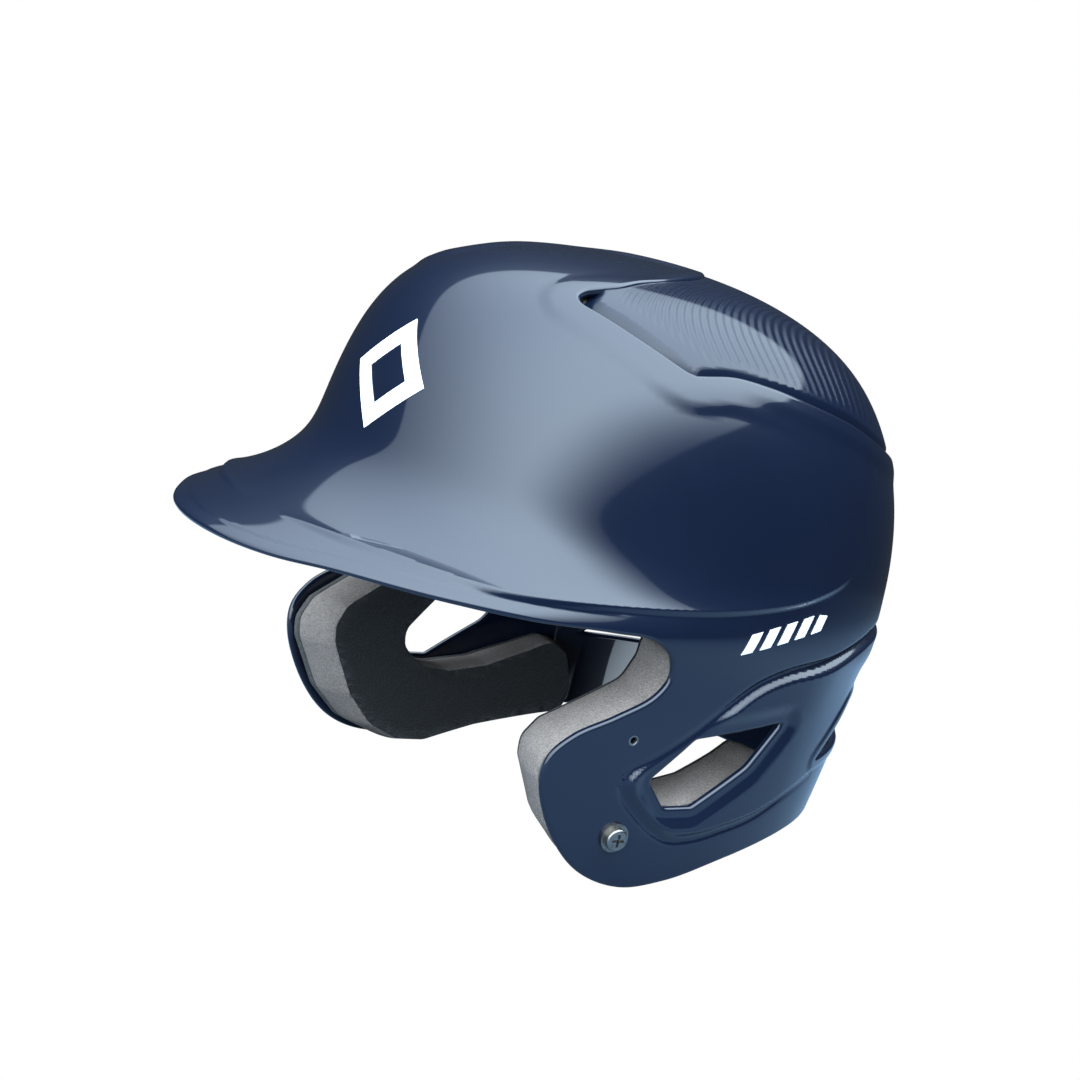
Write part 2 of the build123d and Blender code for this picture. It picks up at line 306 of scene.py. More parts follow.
# ---------------------------------------------------------------- plates cut out of the skin
def inner_places(outline, holes, fine, coarse, features, near):
    """Places inside an outline: fine spacing near the features and coarse elsewhere."""
    (theta_low, low), (theta_high, high) = outline.min(0), outline.max(0)
    rows, row = [], low + 1e-3
    probe = np.linspace(theta_low, theta_high, 24)
    while row < high:
        rows.append(row)
        speed = np.linalg.norm(skin(probe, row + NEAR) - skin(probe, row), axis=-1).max() / NEAR
        row += fine / speed
    grid, keep_coarse = [], []
    ratio = max(int(round(coarse / fine)), 1)
    probe = np.linspace(theta_low, theta_high, 200)
    for k, row in enumerate(rows):
        arc = np.linalg.norm(np.diff(skin(probe, np.full(len(probe), row)), axis=0), axis=-1)
        total = np.concatenate([[0], np.cumsum(arc)])
        count = max(int(total[-1] / fine), 2)
        at = (np.arange(count) + (0.5 if k % 2 else 0.0)) / count * total[-1]
        grid.append(np.stack([np.interp(at, total, probe), np.full(count, row)], -1))
        keep_coarse.append((np.arange(count) % ratio == 0) & (k % ratio == 0))
    grid, keep_coarse = np.vstack(grid), np.concatenate(keep_coarse)
    flat = chart(grid[:, 0], grid[:, 1])
    keep = inside(flat, chart(outline[:, 0], outline[:, 1]))
    for hole in holes:
        keep &= ~inside(flat, chart(hole[:, 0], hole[:, 1]))
    grid, keep_coarse = grid[keep], keep_coarse[keep]
    points = on_skin(grid)
    close = np.zeros(len(grid), bool)
    clear = np.ones(len(grid), bool)
    for line in features:
        gap = np.abs(distance(points, line))
        close |= gap < near
    for line in [outline] + holes:
        gap = np.abs(distance(points, on_skin(line), closed=True))
        close |= gap < near
        clear &= gap > 0.55 * fine
    return grid[(close | keep_coarse) & clear]


SEAM = 0.02              # both halves share the points this close to the mid-plane, in mm


def plate(outline, holes, outer, inner, fine=1.5, coarse=3.0, features=(), near=5.0, rim=6,
          bulge=None, mirrored=False):
    """A piece of skin: its mesh's points (mm), faces and normals.

    outer and inner give points for arrays of angles and rows.  rim is how many steps the rim
    takes from the outer to the inner face, and bulge how far it stands out in the middle.
    near is how far from a feature the fine spacing runs.  With mirrored, the outline is the
    left half, and the right half is joined to it along the mid-plane.
    """
    loops = [outline] + list(holes)
    places = np.vstack(loops + [inner_places(outline, holes, fine, coarse, features, near)])
    flat = chart(places[:, 0], places[:, 1])
    edges, base = [], 0
    for loop in loops:
        edges += [(base + i, base + (i + 1) % len(loop)) for i in range(len(loop))]
        base += len(loop)
    corners, _, triangles, sources = delaunay_2d_cdt(
        [Vector(p) for p in flat], edges, [], 0, 1e-7)[:4]
    flat_out = np.array([tuple(v) for v in corners])
    theta_out = np.arctan2(flat_out[:, 0], -flat_out[:, 1])
    row_out = np.interp(np.hypot(flat_out[:, 0], flat_out[:, 1]), chart_radii, chart_rows)
    for i, ids in enumerate(sources):
        if ids:
            theta_out[i], row_out[i] = places[ids[0]]
    faces = np.array([f for f in triangles if len(f) == 3])
    centre = flat_out[faces].mean(1)
    keep = inside(centre, chart(outline[:, 0], outline[:, 1]))
    for hole in holes:
        keep &= ~inside(centre, chart(hole[:, 0], hole[:, 1]))
    faces = faces[keep]
    a, b, c = flat_out[faces[:, 0]], flat_out[faces[:, 1]], flat_out[faces[:, 2]]
    area = np.cross(b - a, c - a)
    sound = np.abs(area) > 1e-12
    faces, area = faces[sound], area[sound]
    faces[area < 0] = faces[area < 0][:, ::-1]

    def with_normals(surface):
        h = 2e-3
        here = surface(theta_out, row_out)
        low = np.maximum(row_out - h, 0.005)
        across = surface(theta_out + h, row_out) - surface(theta_out - h, row_out)
        down = surface(theta_out, row_out + h) - surface(theta_out, low)
        return here, unit(np.cross(down, across))

    top, top_n = with_normals(outer)
    bottom, bottom_n = with_normals(inner)
    # outward faces: the triangle's own normal must agree with the skin's
    tri = np.cross(top[faces[:, 1]] - top[faces[:, 0]], top[faces[:, 2]] - top[faces[:, 0]])
    if np.einsum("ij,ij->i", tri, top_n[faces[:, 0]]).sum() < 0:
        faces = faces[:, ::-1]
    if mirrored:
        flip = np.array([-1, 1, 1])
        count = len(top)
        twin = np.arange(count) + count
        on_seam = np.abs(top[:, 0]) < SEAM
        twin[on_seam] = np.arange(count)[on_seam]
        top[on_seam, 0] = bottom[on_seam, 0] = 0
        top_n[on_seam, 0] = bottom_n[on_seam, 0] = 0
        top, bottom = np.vstack([top, top * flip]), np.vstack([bottom, bottom * flip])
        top_n, bottom_n = np.vstack([top_n, top_n * flip]), np.vstack([bottom_n, bottom_n * flip])
        faces = np.vstack([faces, twin[faces][:, ::-1]])
    used = np.unique(faces)
    renumber = np.full(len(top), -1)
    renumber[used] = np.arange(len(used))
    faces = renumber[faces]
    top, bottom, top_n, bottom_n = (v[used] for v in (top, bottom, unit(top_n), unit(bottom_n)))
    # the rim: edges with a face on one side only
    halves = np.vstack([faces[:, [0, 1]], faces[:, [1, 2]], faces[:, [2, 0]]])
    _, index, counts = np.unique(np.sort(halves, 1), axis=0, return_index=True,
                                 return_counts=True)
    border = halves[index[counts == 1]]
    out = np.zeros_like(top)
    along = top[border[:, 1]] - top[border[:, 0]]
    for end in (0, 1):
        np.add.at(out, border[:, end], unit(np.cross(along, top_n[border[:, end]])))
    rim_ids = np.unique(border)
    out = unit(out[rim_ids])
    order = np.full(len(top), -1)
    order[rim_ids] = np.arange(len(rim_ids))
    half = (top[rim_ids] - bottom[rim_ids]) / 2
    middle = (top[rim_ids] + bottom[rim_ids]) / 2
    thick = np.linalg.norm(half, axis=-1, keepdims=True)
    swell = thick if bulge is None else np.full_like(thick, bulge)
    n = len(top)
    points, normals = [top, bottom], [top_n, -bottom_n]
    rows_of_ids = [rim_ids]
    for k in range(1, rim):
        angle = pi * k / rim
        points.append(middle + half * cos(angle) + out * swell * sin(angle))
        normals.append(unit(half / thick * cos(angle) / thick + out * sin(angle) / swell))
        rows_of_ids.append(2 * n + (k - 1) * len(rim_ids) + np.arange(len(rim_ids)))
    rows_of_ids.append(n + rim_ids)
    quads = []
    for upper, lower in zip(rows_of_ids, rows_of_ids[1:]):
        p, q = order[border[:, 0]], order[border[:, 1]]
        quads.append(np.stack([upper[q], upper[p], lower[p], lower[q]], -1))
    faces = list(map(tuple, faces)) + list(map(tuple, faces[:, ::-1] + n)) + \
        list(map(tuple, np.vstack(quads)))
    return np.vstack(points), faces, np.vstack(normals)


def make_object(name, points, faces, normals, material):
    """A mesh object from points in millimetres about the head."""
    mesh = bpy.data.meshes.new(name)
    places = (points + (0, CROWN_Y, BELT_Z)) * MM
    mesh.from_pydata(places.tolist(), [], [tuple(map(int, f)) for f in faces])
    mesh.validate()
    mesh.shade_smooth()
    if len(normals) == len(mesh.vertices):
        mesh.normals_split_custom_set_from_vertices(normals.tolist())
    obj = bpy.data.objects.new(name, mesh)
    bpy.context.scene.collection.objects.link(obj)
    mesh.materials.append(material)
    return obj


def finish_piece(obj, slot, *nodes):
    """Says what a piece moves with and which nodes it stands for, and hides those nodes; slot is
    not used.
    """
    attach(obj, "root")
    if nodes:
        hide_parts(*nodes)
    return obj


def right_hand(name):
    return name.replace("left_", "right_")


def mirror_object(obj):
    """The same piece on the other side of the mid-plane."""
    name = right_hand(obj.name)
    mesh = obj.data.copy()
    mesh.name = name
    mesh.transform(Matrix.Diagonal((-1, 1, 1, 1)))
    mesh.flip_normals()
    twin = bpy.data.objects.new(name, mesh)
    bpy.context.scene.collection.objects.link(twin)
    return twin


# ---------------------------------------------------------------- outlines
# The lower edge, the ear hole, the vent and the crown opening's side, drawn in the side view.
BRIM_EDGE = [(-160, 10.8), (-146, 11.6), (-130, 12.4), (-98, 9.6), (-68, 6.3), (-38, 4.2),
             (-22, 2)]
NOTCH_EDGE = [(-11.5, -5), (-8, -14.5), (-13, -22.5), (-28, -31)]
FLAP_EDGE = [(-43, -38.5), (-50.5, -47), (-50.5, -58), (-40.4, -77.4), (-26.4, -90.4), (-8, -96.2)]
NAPE_EDGE = [(12, -94.2), (40, -86.8), (75, -79.4), (110, -75.4), (135, -74.9)]
EAR_HOLE = [(-9.5, -54.5), (9, -37), (56, -31.5), (40, -51.5), (16, -67), (1.5, -67)]
REAR_VENT = [(76, -53), (102, -31), (112, -31), (116, -38), (113, -50)]
CROWN_SIDE = [(-6.5, 92.6), (7, 93.2), (21, 90.6), (35, 87.2), (63, 78.8), (82, 70.8),
              (128, 51)]


def lower_edge():
    """Angle and row along the lower edge, from the middle of the brim to the middle of the nape."""
    line = smooth_line(BRIM_EDGE + NOTCH_EDGE + FLAP_EDGE + NAPE_EDGE, 1.4)
    brim = [p for p in line if p[0] < -60 and p[1] > 0]
    flap = [p for p in line if not (p[0] < -60 and p[1] > 0) and p[0] < 60]
    nape = [p for p in line if p[0] >= 60]
    first = find(np.array(flap[0]), SIDE_VIEW, (radians(68), 7.4))
    front = sweep_row(first, 0, 70, [line[0] - (40, 0)] + brim + flap[:1])
    middle = trace(flap, SIDE_VIEW, first)
    rear = sweep_row(middle[-1], pi, 90, flap[-1:] + nape)
    return np.vstack([front[::-1], middle, rear])


hem = lower_edge()
ear_hole = trace(round_corners(EAR_HOLE, (4, 6, 2.5, 14, 5, 5)), SIDE_VIEW, (radians(88), 9.5))
rear_vent = trace(round_corners(REAR_VENT, (2, 4, 3, 3, 3)), SIDE_VIEW, (radians(128), 9.4))


# ---------------------------------------------------------------- materials
def new_material(name, colour, roughness, **sockets):
    """A Principled material whose constant values sit on the shader's own sockets."""
    material = bpy.data.materials.new(name)
    material.use_nodes = True
    nodes, links = material.node_tree.nodes, material.node_tree.links
    shader = nodes["Principled BSDF"]
    shader.inputs["Base Color"].default_value = (*colour, 1)
    shader.inputs["Roughness"].default_value = roughness
    for socket, value in sockets.items():
        shader.inputs[socket.replace("_", " ")].default_value = value
    return material, nodes, links, shader


def noise(nodes, links, scale, detail=3.0, roughness=0.5, kind="ShaderNodeTexNoise"):
    """A noise pattern fixed to the object; scale is in turns per metre."""
    place = nodes.new("ShaderNodeTexCoord")
    texture = nodes.new(kind)
    texture.inputs["Scale"].default_value = scale
    if kind == "ShaderNodeTexNoise":
        texture.inputs["Detail"].default_value = detail
        texture.inputs["Roughness"].default_value = roughness
    links.new(place.outputs["Object"], texture.inputs["Vector"])
    return texture.outputs[0]


def ramp(nodes, links, source, low, high, stops=(0.3, 0.7)):
    """Maps a pattern to a colour between two colours."""
    node = nodes.new("ShaderNodeValToRGB")
    for element, colour, position in zip(node.color_ramp.elements, (low, high), stops):
        element.color = (*colour, 1)
        element.position = position
    links.new(source, node.inputs["Fac"])
    return node.outputs["Color"]


def spread(nodes, links, source, low, high):
    """Maps a pattern from 0..1 to low..high."""
    node = nodes.new("ShaderNodeMapRange")
    node.inputs["To Min"].default_value = low
    node.inputs["To Max"].default_value = high
    links.new(source, node.inputs["Value"])
    return node.outputs["Result"]


def math_node(nodes, links, operation, *values):
    """A math node; each value is a socket or a number."""
    node = nodes.new("ShaderNodeMath")
    node.operation = operation
    for place, value in enumerate(values):
        if isinstance(value, (int, float)):
            node.inputs[place].default_value = value
        else:
            links.new(value, node.inputs[place])
    return node.outputs["Value"]


def mesh_value(nodes, name):
    """A value kept on the mesh's points."""
    node = nodes.new("ShaderNodeAttribute")
    node.attribute_name = name
    return node.outputs["Fac"]


def smooth_range(nodes, links, source, start, end, low=0.0, high=1.0):
    """A smooth change from low to high while the source goes from start to end."""
    node = nodes.new("ShaderNodeMapRange")
    node.interpolation_type = "SMOOTHSTEP"
    for socket, value in zip(("From Min", "From Max", "To Min", "To Max"), (start, end, low, high)):
        node.inputs[socket].default_value = value
    links.new(source, node.inputs["Value"])
    return node.outputs["Result"]


def add_bump(nodes, links, shader, height, strength, distance_m, below=None):
    """Bump of a height on top of another bump; it is put on the shader if there is one."""
    bump = nodes.new("ShaderNodeBump")
    bump.inputs["Strength"].default_value = strength
    bump.inputs["Distance"].default_value = distance_m
    links.new(height, bump.inputs["Height"])
    if below:
        links.new(below, bump.inputs["Normal"])
    if shader:
        links.new(bump.outputs["Normal"], shader.inputs["Normal"])
    return bump.outputs["Normal"]


NAVY, NAVY_LIGHT = (0.0036, 0.0066, 0.0170), (0.0041, 0.0076, 0.0192)


def gloss_plastic(name, roughness, coat, ridged=False):
    """Moulded navy plastic under a clear coat: faint mottle in colour and gloss, and ripple."""
    material, nodes, links, shader = new_material(
        name, NAVY, roughness, IOR=1.5, Specular_IOR_Level=0.1,
        Coat_Weight=coat, Coat_Roughness=0.03, Coat_IOR=1.5)
    cloud = noise(nodes, links, 22, 4)
    links.new(ramp(nodes, links, cloud, NAVY, NAVY_LIGHT), shader.inputs["Base Color"])
    links.new(spread(nodes, links, cloud, roughness * 0.85, roughness * 1.15),
              shader.inputs["Roughness"])
    ripple = add_bump(nodes, links, None, noise(nodes, links, 55, 2), 0.05, 0.0008)
    if not ridged:
        add_bump(nodes, links, shader, noise(nodes, links, 1800, 2), 0.02, 0.0002, ripple)
        return material
    # contour ridges: a sine of the mesh's own values, as deep as the mesh says
    waves = math_node(nodes, links, "SINE", mesh_value(nodes, "ridge"))
    deep = math_node(nodes, links, "MULTIPLY", waves, mesh_value(nodes, "ridge_depth"))
    add_bump(nodes, links, shader, deep, 0.55, 0.00035, ripple)
    return material


def foam(name, dark, light):
    """Cut closed-cell foam: speckled cells, matt, with open pores."""
    material, nodes, links, shader = new_material(name, light, 0.95, Specular_IOR_Level=0.15)
    cells = noise(nodes, links, 1500, 5, 0.75)
    cloud = noise(nodes, links, 90, 3)
    speckle = ramp(nodes, links, cells, dark, light, (0.30, 0.68))
    mix = nodes.new("ShaderNodeMix")
    mix.data_type = "RGBA"
    mix.blend_type = "MULTIPLY"
    mix.inputs["Factor"].default_value = 0.5
    links.new(speckle, mix.inputs["A"])
    links.new(ramp(nodes, links, cloud, (0.75, 0.75, 0.74), (1, 1, 1)), mix.inputs["B"])
    links.new(mix.outputs["Result"], shader.inputs["Base Color"])
    coarse = add_bump(nodes, links, None, noise(nodes, links, 420, 3), 0.25, 0.0008)
    add_bump(nodes, links, shader, cells, 0.9, 0.0006, coarse)
    return material


def fabric(name, dark, light):
    """Brushed black knit: fine crossed loops, short sheen, soft creases."""
    material, nodes, links, shader = new_material(
        name, light, 0.9, Specular_IOR_Level=0.2, Sheen_Weight=0.25, Sheen_Roughness=0.6)
    knit = noise(nodes, links, 900, kind="ShaderNodeTexVoronoi")
    fuzz = noise(nodes, links, 2600, 4, 0.7)
    links.new(ramp(nodes, links, fuzz, dark, light), shader.inputs["Base Color"])
    soft = add_bump(nodes, links, None, noise(nodes, links, 60, 4), 0.5, 0.0016)
    loops = add_bump(nodes, links, None, knit, 0.5, 0.0005, soft)
    add_bump(nodes, links, shader, fuzz, 0.5, 0.0003, loops)
    return material


def steel(name):
    """Turned stainless steel: brushed grain, with small differences in gloss."""
    material, nodes, links, shader = new_material(name, (0.25, 0.24, 0.22), 0.3, Metallic=1.0)
    grain = noise(nodes, links, 3500, 5)
    tarnish = ramp(nodes, links, noise(nodes, links, 500, 3),
                   (0.19, 0.18, 0.165), (0.32, 0.30, 0.275))
    links.new(tarnish, shader.inputs["Base Color"])
    links.new(spread(nodes, links, grain, 0.22, 0.42), shader.inputs["Roughness"])
    add_bump(nodes, links, shader, grain, 0.15, 0.0001)
    return material


def white_print(name):
    """White pad print: slightly uneven ink with a soft gloss."""
    material, nodes, links, shader = new_material(name, (0.85, 0.86, 0.88), 0.35)
    film = noise(nodes, links, 700, 4)
    links.new(ramp(nodes, links, film, (0.80, 0.81, 0.83), (0.90, 0.91, 0.93)),
              shader.inputs["Base Color"])
    links.new(spread(nodes, links, film, 0.28, 0.42), shader.inputs["Roughness"])
    add_bump(nodes, links, shader, film, 0.08, 0.0002)
    return material


navy = gloss_plastic("navy_gloss", 0.30, 0.9)
navy_satin = gloss_plastic("navy_ridged", 0.30, 0.6, ridged=True)
light_foam = foam("light_grey_foam", (0.115, 0.098, 0.086), (0.335, 0.285, 0.252))
# dark grey foam of the liner pads and of the ear pads' base strip; on the base strip its dark grey
# is also painted shade in the gap between the shell's rim and the light foam
dark_foam_and_painted_shade = foam("dark_grey_foam", (0.045, 0.044, 0.042), (0.13, 0.125, 0.12))
black_fabric = fabric("black_fabric", (0.003, 0.003, 0.003), (0.009, 0.0085, 0.008))
metal = steel("stainless_steel")
ink = white_print("white_print")


# ---------------------------------------------------------------- feature lines on the shell
# The belt under the dome and the boss around the ear hole, drawn in the side view.
BELT = [(-121, 18), (-109, 17), (-96, 15), (-81, 13), (-49, 12), (15, 13), (52, 18), (69, 25),
        (75, 36)]
BOSS_TOP = [(-19, -54.5), (-16, -50.5), (-7, -46), (8, -36.5), (21, -27), (34, -18.5), (48, -14),
            (72, -10.5), (90, -6), (97.5, -4)]
BOSS_LOW = [(-19, -54.5), (-16, -60), (-5.5, -69.5), (3, -75), (10, -77.3), (21, -77), (33, -74.5),
            (49, -70.5), (64, -64), (80, -58)]

belt = trace(smooth_line(BELT, 2.5), SIDE_VIEW, (radians(20), 6.7))
belt_front = [(radians(a), belt[0][1]) for a in range(0, int(np.degrees(belt[0][0])), 2)]
belt = np.vstack([belt_front, belt])
boss_top = trace(smooth_line(BOSS_TOP, 2.0), SIDE_VIEW, (radians(85), 9.5))
boss_low = trace(smooth_line(BOSS_LOW, 2.0), SIDE_VIEW, (radians(85), 9.5))
# the groove runs on past the middle of the rear, so that its two halves meet
around_back = [(theta, row_at_height(theta, [(60, -12), (97.5, -4), (140, -1)], boss_top[-1][1]))
               for theta in np.linspace(boss_top[-1][0], pi + 0.2, 34)[1:]]
boss_top = np.vstack([boss_top, around_back])

# The front of the crown opening, drawn in the top view: beside the tongue, then the air slot.
TONGUE_EDGE = [(0, 46), (4, 43), (11, 37), (19.3, 26.8), (27.2, 11.5), (33, -5.5),
               (36.8, -17), (37.2, -26)]
SLOT_EDGE = [(37.2, -26), (37.3, -32.5), (40.2, -37.6), (45, -39.3), (54, -35.9), (66.7, -28.5),
             (76.5, -20), (82.4, -12.8), (84.1, -9.3)]
front_edge = smooth_line(TONGUE_EDGE, 1.5)[:-1].tolist() + smooth_line(SLOT_EDGE, 1.3).tolist()
opening = trace(front_edge, TOP_VIEW, (radians(178), 0.5))
side_edge = trace(smooth_line(CROWN_SIDE, 1.5), SIDE_VIEW, opening[-1])
side_edge = side_edge[2:]
side_edge = side_edge[on_skin(side_edge)[:, 1] < 100]
back_edge = sweep_row(side_edge[-1], pi, 50, smooth_line(CROWN_SIDE + [(150, 41)], 1.5))
opening = np.vstack([opening, side_edge, back_edge])
opening_line = on_skin(opening)

shell_outline = np.vstack([
    meridian(0.0, hem[0][1], 0.02)[1:], meridian(pi, 0.02, opening[0][1])[1:-1], opening,
    meridian(pi, opening[-1][1], hem[-1][1])[1:-1], hem[::-1]])
belt_line, top_line, low_line = on_skin(belt), on_skin(boss_top), on_skin(boss_low)
hole_line, vent_line, hem_line = on_skin(ear_hole), on_skin(rear_vent), on_skin(hem)
brim_line = hem_line[(hem_line[:, 1] < -50) & (hem_line[:, 2] > 0)]


# ---------------------------------------------------------------- moulded shell
# How far the moulded features stand out of the plain skin, or are sunk in it, in millimetres.
BELT_RISE, BOSS_RISE, SKIRT_RISE, HOOD_RISE, SHOULDER_RISE, LIP_RISE = 1.4, 1.8, 1.3, 0.8, 0.9, 0.7
MOAT_DEPTH, BORDER_DEPTH = 0.7, 0.45


def relief(theta, t):
    """How far the moulded surface stands out of the plain skin, in millimetres."""
    shape = theta.shape
    theta, t = theta.ravel(), t.ravel()
    p, n = skin(theta, t), skin_normal(theta, t)
    x, y, z = p.T
    out = np.zeros(len(p))

    # the belt: the dome flares a little, then drops on to the band above the ears
    near = np.abs(z - 18) < 45
    d = distance(p[near], belt_line, n[near])
    flare = np.where(d > 0, np.exp(-np.abs(d) / 6), 1 - step(-d, 2.8))
    out[near] += BELT_RISE * flare * step(x[near] - 8, 40) * (1 - step(y[near] - 42, 34))

    # the raised boss around the ear hole, and the groove above it that deepens towards the nape
    near = (z < 25) & (y > -45)
    q, m, yy = p[near], n[near], y[near]
    under = -distance(q, top_line, m)
    over = distance(q, low_line, m)
    hole_gap = distance(q, hole_line, closed=True)
    behind = step(yy - 58, 34)
    boss = step(under, 3.2) * step(over, 3.2) * (1 - behind)
    dish = 0.05 + 0.95 * step(hole_gap - 1.0, 6.5)
    skirt = step(under, 2.6) * (1 - step(under - 4, 26)) * step(yy - 40, 36)
    groove = np.exp(-((under + 0.9) / 1.6) ** 2)
    depth = 0.5 + 1.7 * step(yy - 20, 70)
    moat = MOAT_DEPTH * np.exp(-((over + 1.6) / 1.5) ** 2) * step(under, 3) * (1 - behind)
    tip = np.maximum(step(under + over + 4, 6), behind)
    out[near] += BOSS_RISE * boss * dish + SKIRT_RISE * skirt - moat
    out[near] -= depth * groove * tip * step(yy + 30, 10)

    # the hood around the front of the crown opening, and the shoulder along its sides and rear
    near = z > 30
    q, yy = p[near], y[near]
    gap = distance(q, opening_line)
    hood = (1 - step(gap - 8.0, 6.5)) * (1 - step(yy, 60)) * step(x[near] - 22, 16)
    out[near] += HOOD_RISE * hood
    out[near] += SHOULDER_RISE * (1 - step(gap - 2.5, 7)) * step(yy - 4, 22)

    # the border along the brim's edge
    near = (z > -12) & (z < 32) & (y < -25)
    gap = distance(p[near], hem_line)
    out[near] -= BORDER_DEPTH * (1 - step(gap - 4.2, 1.8)) * (1 - step(y[near] + 52, 20))

    # the lips of the rear vents
    near = (y > 55) & (z < -15)
    gap = distance(p[near], vent_line, closed=True)
    out[near] += LIP_RISE * (1 - step(gap - 1.5, 3.5))
    return out.reshape(shape)


def shell_outside(theta, t):
    """The shell's outer face."""
    return skin(theta, t) + skin_normal(theta, t) * relief(theta, t)[..., None]


def shell_inside(theta, t):
    """The shell's inner face."""
    return below_skin(theta, t, SHELL_T)


def layer(top, thickness):
    """Outer and inner surfaces of an even layer, by depth under the skin."""
    return (lambda theta, t: below_skin(theta, t, np.full(theta.shape, top)),
            lambda theta, t: below_skin(theta, t, np.full(theta.shape, top + thickness)))


def ring_on_skin(theta, t, radius, count=20):
    """A circle drawn on the skin around a place."""
    h = 1e-4
    here = skin(theta, t)
    slope = np.stack([(skin(theta + h, t) - here) / h, (skin(theta, t + h) - here) / h], 1)
    normal = skin_normal(theta, t)
    u = unit(np.cross(normal, (0, 0, 1)))
    v = np.cross(normal, u)
    turns = 2 * pi * np.arange(count) / count
    spots = radius * (np.cos(turns)[:, None] * u + np.sin(turns)[:, None] * v)
    return np.array([theta, t]) + np.linalg.lstsq(slope, spots.T, rcond=None)[0].T


# the two fastener holes in the flap: angle and row
UPPER_NUT, LOWER_NUT = (radians(85.0), 9.39), (radians(84.0), 9.78)
nut_holes = [ring_on_skin(*UPPER_NUT, 2.6), ring_on_skin(*LOWER_NUT, 2.6)]

shell = make_object("moulded_shell", *plate(
    shell_outline, [ear_hole, rear_vent] + nut_holes, shell_outside, shell_inside,
    fine=1.1, coarse=2.3, features=[belt_line, top_line, low_line, brim_line], near=6.5, rim=8,
    mirrored=True), navy)
finish_piece(shell, "shell_plastic", "outer_shell")


# the bright end of the empty barrel in each upper hole
collar = make_object("left_barrel_end", *plate(
    ring_on_skin(*UPPER_NUT, 2.5, 28), [ring_on_skin(*UPPER_NUT, 1.5, 28)], *layer(0.1, 2.5),
    fine=0.6, coarse=0.6, rim=6, bulge=0.25), metal)
finish_piece(collar, "hardware_steel")
finish_piece(mirror_object(collar), "hardware_steel")


# ---------------------------------------------------------------- crown panel
# Its edge: hidden under the shell's tongue, free along the slot, hidden again down the side.
PANEL_TONGUE = [(0, 41), (8, 33), (15, 24), (23, 9), (29, -7), (33, -18), (34.5, -25),
                (37.5, -29.5)]
PANEL_SLOT = [(37.5, -29.5), (41.5, -33.6), (46.8, -35.2), (60, -29.8), (71.3, -23.2),
              (80.8, -15), (87, -8)]
PANEL_SIDE = [(-8, 89), (7, 89), (21, 86.4), (35, 83), (63, 74.6), (82, 66.6), (128, 47)]

panel_slot = trace(smooth_line(PANEL_SLOT, 1.3), TOP_VIEW, (radians(47), 0.9))
panel_front = trace(smooth_line(PANEL_TONGUE, 1.5)[:-1], TOP_VIEW, (radians(178), 0.45))
panel_side = trace(smooth_line(PANEL_SIDE, 1.5), SIDE_VIEW, panel_slot[-1])
panel_side = panel_side[2:]
panel_side = panel_side[on_skin(panel_side)[:, 1] < 98]
panel_back = sweep_row(panel_side[-1], pi, 50, smooth_line(PANEL_SIDE + [(150, 36)], 1.5))
panel_outline = np.vstack([panel_front, panel_slot, panel_side, panel_back,
                           meridian(pi, panel_back[-1][1], panel_front[0][1])[1:-1]])
slot_line = on_skin(panel_slot)
tongue_line = on_skin(opening[:len(smooth_line(TONGUE_EDGE, 1.5))])
rim_line = on_skin(opening[len(front_edge) - 4:])


PANEL_THICK = 2.2
PANEL_SINK = 0.4                          # how deep the panel's middle lies under the skin
LIP_WIDTH, LIP_DROP = 5.5, 4.4            # the rolled lip along the air slot
WALL_WIDTH, WALL_DROP = 6.0, 3.0          # the wall down to the seam along the side
TUCK_DROP = 2.6                           # what lies under the tongue


def panel_depth(theta, t):
    """How deep the panel's outer face lies under the skin."""
    shape = theta.shape
    theta, t = theta.ravel(), t.ravel()
    p, n = skin(theta, t), skin_normal(theta, t)
    to_slot = distance(p, slot_line)
    from_tongue = distance(p, tongue_line, n)
    from_rim = distance(p, rim_line, n)
    roll = np.clip(1 - to_slot / LIP_WIDTH, 0, 1) ** 1.2 * LIP_DROP
    tuck = (1 - step(from_tongue + 0.3, 1.0)) * TUCK_DROP
    wall = np.clip(1 - from_rim / WALL_WIDTH, 0, 1) ** 1.2 * WALL_DROP
    behind_slot = step(p[:, 1] + 12, 8)
    side = wall * behind_slot + (1 - step(from_rim, 1.5)) * WALL_DROP * (1 - behind_slot)
    return (PANEL_SINK + np.maximum(np.maximum(roll, tuck), side)).reshape(shape)


def panel_outside(theta, t):
    """The panel's outer face."""
    return below_skin(theta, t, panel_depth(theta, t))


def panel_inside(theta, t):
    """The panel's inner face."""
    return below_skin(theta, t, panel_depth(theta, t) + PANEL_THICK)


panel_points, panel_faces, panel_normals = plate(
    panel_outline, [], panel_outside, panel_inside, fine=1.2, coarse=2.4,
    features=[rim_line, tongue_line, slot_line], near=8.0, rim=6, mirrored=True)
panel = make_object("ridged_panel", panel_points, panel_faces, panel_normals, navy_satin)
finish_piece(panel, "panel_plastic", "crown_panel")


def set_point_values(obj, name, values):
    """Keeps a value on each point of a mesh."""
    attribute = obj.data.attributes.new(name, "FLOAT", "POINT")
    attribute.data.foreach_set("value", np.asarray(values, dtype=np.float32))


# contour ridges: swept back towards the middle, and wider apart towards the rear
RIDGE_PITCH, RIDGE_GROWTH, RIDGE_SWEEP = 2.7, 0.014, 0.0172
across, along_y = np.abs(panel_points[:, 0]), panel_points[:, 1]
swept = along_y - RIDGE_SWEEP * (76 - np.minimum(across, 84)) ** 2
ridges = np.log(np.maximum(1 + RIDGE_GROWTH * (swept + 60) / RIDGE_PITCH, 0.05)) / RIDGE_GROWTH
set_point_values(panel, "ridge", ridges * 2 * pi)
